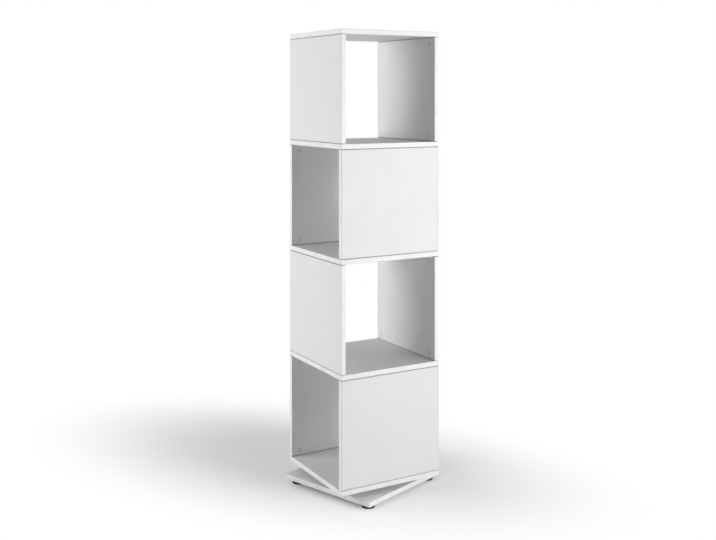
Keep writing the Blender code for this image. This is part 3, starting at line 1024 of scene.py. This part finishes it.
def countersink(screw):
    """Cutter for the hole of a ring screw."""
    low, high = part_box(screw)
    head = SCREW_HEAD / 2.0 + FIT_GAP * DIAGONAL
    shank = SCREW_THREAD / 2.0 + FIT_GAP
    profile = [
        (0.0, CUT_RUNOUT),
        (head, CUT_RUNOUT),
        (head, 0.0),
        (shank, shank - head),
        (shank, low.z - high.z),
        (0.0, low.z - high.z),
    ]
    mesh = mesh_of(turned(profile, BORE_STEPS), "countersink", finishes(turned_aluminium))
    mesh.transform(head_place(screw))
    return mesh


class SHELF_OT_bearing_rings(bpy.types.Operator):
    """Make the fixed outer ring and the turning inner ring of the bearing"""

    bl_idname = "shelf.bearing_rings"
    bl_label = "Bearing Rings"

    def execute(self, context):
        for node, side, screws in (
            ("bearing_outer_ring", 1.0, BASE_SCREWS),
            ("bearing_inner_ring", -1.0, TOWER_SCREWS),
        ):
            mesh = ring_mesh(node, side, context.scene.fitting_sizes)
            for screw in nodes_named(screws):
                mesh = combined(mesh, countersink(screw), "DIFFERENCE")
            settle(mesh, node, "turned")
        return {"FINISHED"}


class SHELF_OT_ring_screws(bpy.types.Operator):
    """Make the countersunk screws of both bearing rings"""

    bl_idname = "shelf.ring_screws"
    bl_label = "Ring Screws"

    def execute(self, context):
        sizes = context.scene.fitting_sizes
        materials = finishes(steel_plating)
        crest = SCREW_THREAD / 2.0
        head = SCREW_HEAD / 2.0
        for screw in nodes_named(BASE_SCREWS) + nodes_named(TOWER_SCREWS):
            low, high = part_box(screw)
            tip = low.z - high.z
            thread = threaded(crest - head, tip + SCREW_POINT, crest, sizes)
            profile = [(0.0, 0.0), (head, 0.0), *thread, (0.0, tip)]
            mesh = mesh_of(turned(profile, BOLT_STEPS), screw, materials)
            cross = cross_cutter(sizes.screw_recess, head / 2.0, 0.0)
            mesh = combined(mesh, mesh_of(cross, "cross", materials), "DIFFERENCE")
            mesh.transform(head_place(screw))
            settle(mesh, screw, "threaded")
        return {"FINISHED"}


class SHELF_OT_ball_cage(bpy.types.Operator):
    """Make the ball cage with its balls"""

    bl_idname = "shelf.ball_cage"
    bl_label = "Ball Cage"

    def execute(self, context):
        node = "ball_cage"
        materials = finishes(steel_plating)
        level = middle(node).z
        inner = RACE_RADIUS - CAGE_WALL / 2.0
        outer = RACE_RADIUS + CAGE_WALL / 2.0
        top = level + CAGE_HEIGHT / 2.0
        bottom = level - CAGE_HEIGHT / 2.0
        section = [(outer, top), (outer, bottom), (inner, bottom), (inner, top)]
        cage = mesh_of(turned(section, RING_STEPS, closed=True), node, materials)
        balls = bmesh.new()
        for step in range(BALL_COUNT):
            place = rotation(math.tau * step / BALL_COUNT) @ Matrix.Translation((RACE_RADIUS, 0.0, level))
            bmesh.ops.create_uvsphere(
                balls, u_segments=BALL_STEPS, v_segments=BALL_RINGS, radius=BALL_RADIUS, matrix=place)
        mesh = combined(cage, mesh_of(balls, "balls", materials), "UNION")
        settle(mesh, node, "assembled")
        return {"FINISHED"}


def beside_plate(finish, margin):
    """Distance outside the base plate's outline drawn in by a margin, and 0 inside it."""
    reach = Vector((plate_half(), plate_half(), 0.0)) - margin
    outside = finish.vector("SUBTRACT", finish.vector("ABSOLUTE", finish.own_place(base_turn())), reach)
    return finish.vector("LENGTH", finish.vector("MAXIMUM", outside))


def studio_floor(light, colours):
    """Pale floor with a painted white glow for the camera: none under and beside the base plate, a small
    lift in an oval along the shadow, and plain white farther off. Its own tone and the lamps' shadow show
    where the glow is small.
    """
    finish = Finish("studio_floor")
    beside = beside_plate(finish, Vector(light.strip_inset))
    strip = finish.span(
        beside, low=0.0, high=1.0, from_low=0.0, from_high=light.strip_width, course="SMOOTHSTEP")
    seen = finish.number("MULTIPLY", finish.seen_directly(), strip)
    size = (light.oval_length, light.oval_width, 1.0)
    oval = finish.vector("LENGTH", finish.own_place(light.oval_turn, light.oval_centre, size))
    fade = finish.span(
        oval, low=0.0, high=1.0, from_low=light.oval_core, from_high=1.0, course="SMOOTHSTEP")
    # Painted light: glow to white outside the oval, a lift of floor_white inside it, and no glow near the
    # base plate.
    white = finish.number("MULTIPLY", fade, seen)
    painted_lift = finish.number("MULTIPLY", seen, light.floor_white)
    finish.set("Base Color", finish.mix(white, opaque(colours.floor), BLACK))
    finish.set("Roughness", 1.0)
    finish.set("Specular IOR Level", 0.0)
    finish.set("Emission Color", WHITE)
    finish.set("Emission Strength", finish.span(white, low=painted_lift, high=1.0, from_low=0.0, from_high=1.0))
    return finish.material


def add_floor(light, colours):
    """Round floor under the unit."""
    bm = bmesh.new()
    bmesh.ops.create_circle(bm, cap_ends=True, segments=light.floor_segments, radius=light.floor_radius)
    floor = placed("studio_floor", mesh_of(bm, "studio_floor", [studio_floor(light, colours)]))


def add_world():
    """Surroundings that are white where they are seen and give no light."""
    world = bpy.data.worlds.new("studio")
    world.use_nodes = True
    world.node_tree.nodes.clear()
    nodes = NodeTree(world.node_tree)
    white = nodes.add("ShaderNodeBackground", {"Color": WHITE, "Strength": nodes.seen_directly()})
    nodes.add("ShaderNodeOutputWorld", {"Surface": white["Background"]})
    bpy.context.scene.world = world


def add_softbox(box, watts):
    """Soft lamp that looks at the middle of the unit."""
    name = f"{box.name}_softbox"
    lamp = bpy.data.lights.new(name, "AREA")
    lamp.shape = "RECTANGLE"
    lamp.size = box.width
    lamp.size_y = box.height
    lamp.energy = watts
    azimuth = rotation(math.radians(box.azimuth))
    elevation = rotation(QUARTER_TURN - math.radians(box.elevation), "X")
    place = Matrix.Translation(LAMP_TARGET) @ azimuth @ elevation @ Matrix.Translation(UP * LAMP_DISTANCE)
    softbox = placed(name, lamp)
    softbox.matrix_world = place
    softbox.visible_camera = False


def add_camera():
    """Level camera at the photograph's viewpoint, shifted down as the photograph is framed."""
    camera = bpy.data.cameras.new("photo_camera")
    camera.lens = CAMERA_LENS
    camera.sensor_width = CAMERA_SENSOR
    camera.shift_y = CAMERA_SHIFT
    viewpoint = placed("photo_camera", camera)
    viewpoint.location = CAMERA_PLACE
    viewpoint.rotation_euler = (QUARTER_TURN, 0.0, CAMERA_TURN)
    bpy.context.scene.camera = viewpoint


class SHELF_OT_stage(bpy.types.Operator):
    """Set up the studio: floor, surroundings, soft lamps and camera"""

    bl_idname = "shelf.stage"
    bl_label = "Studio"

    def execute(self, context):
        light = context.scene.stage_light
        add_floor(light, context.scene.finish_colours)
        add_world()
        for box in SOFTBOXES:
            add_softbox(box, getattr(light, f"{box.name}_power"))
        add_camera()
        context.scene.view_settings.view_transform = "Standard"
        return {"FINISHED"}


MAKERS = (
    SHELF_OT_tower_boards,
    SHELF_OT_side_panels,
    SHELF_OT_base_plate,
    SHELF_OT_feet,
    SHELF_OT_cam_fittings,
    SHELF_OT_bearing_rings,
    SHELF_OT_ring_screws,
    SHELF_OT_ball_cage,
    SHELF_OT_stage,
)
SETTINGS = {
    "board_sizes": BoardSizes,
    "fitting_sizes": FittingSizes,
    "finish_colours": FinishColours,
    "stage_light": StageLight,
}


class SHELF_PT_sidebar(bpy.types.Panel):
    """Sidebar panel with the settings and the operators of the shelf unit"""

    bl_idname = "SHELF_PT_sidebar"
    bl_label = "Shelf Unit"
    bl_space_type = "VIEW_3D"
    bl_region_type = "UI"
    bl_category = "Shelf Unit"

    def draw(self, context):
        for maker in MAKERS:
            self.layout.operator(maker.bl_idname)
        for name, group in SETTINGS.items():
            box = self.layout.box()
            for setting in group.__annotations__:
                box.prop(getattr(context.scene, name), setting)


def register():
    """Register the classes and hang the settings on the scene."""
    for group in (*SETTINGS.values(), *MAKERS, SHELF_PT_sidebar):
        bpy.utils.register_class(group)
    for name, group in SETTINGS.items():
        setattr(bpy.types.Scene, name, PointerProperty(type=group))


def unregister():
    """Take the settings off the scene and unregister the classes."""
    for name in SETTINGS:
        delattr(bpy.types.Scene, name)
    for group in (SHELF_PT_sidebar, *reversed(MAKERS), *reversed(SETTINGS.values())):
        bpy.utils.unregister_class(group)


def main():
    """Build every piece and the stage."""
    register()
    bpy.ops.shelf.tower_boards()
    bpy.ops.shelf.side_panels()
    bpy.ops.shelf.base_plate()
    bpy.ops.shelf.feet()
    bpy.ops.shelf.cam_fittings()
    bpy.ops.shelf.bearing_rings()
    bpy.ops.shelf.ring_screws()
    bpy.ops.shelf.ball_cage()
    bpy.ops.shelf.stage()


if __name__ == "__main__":
    main()
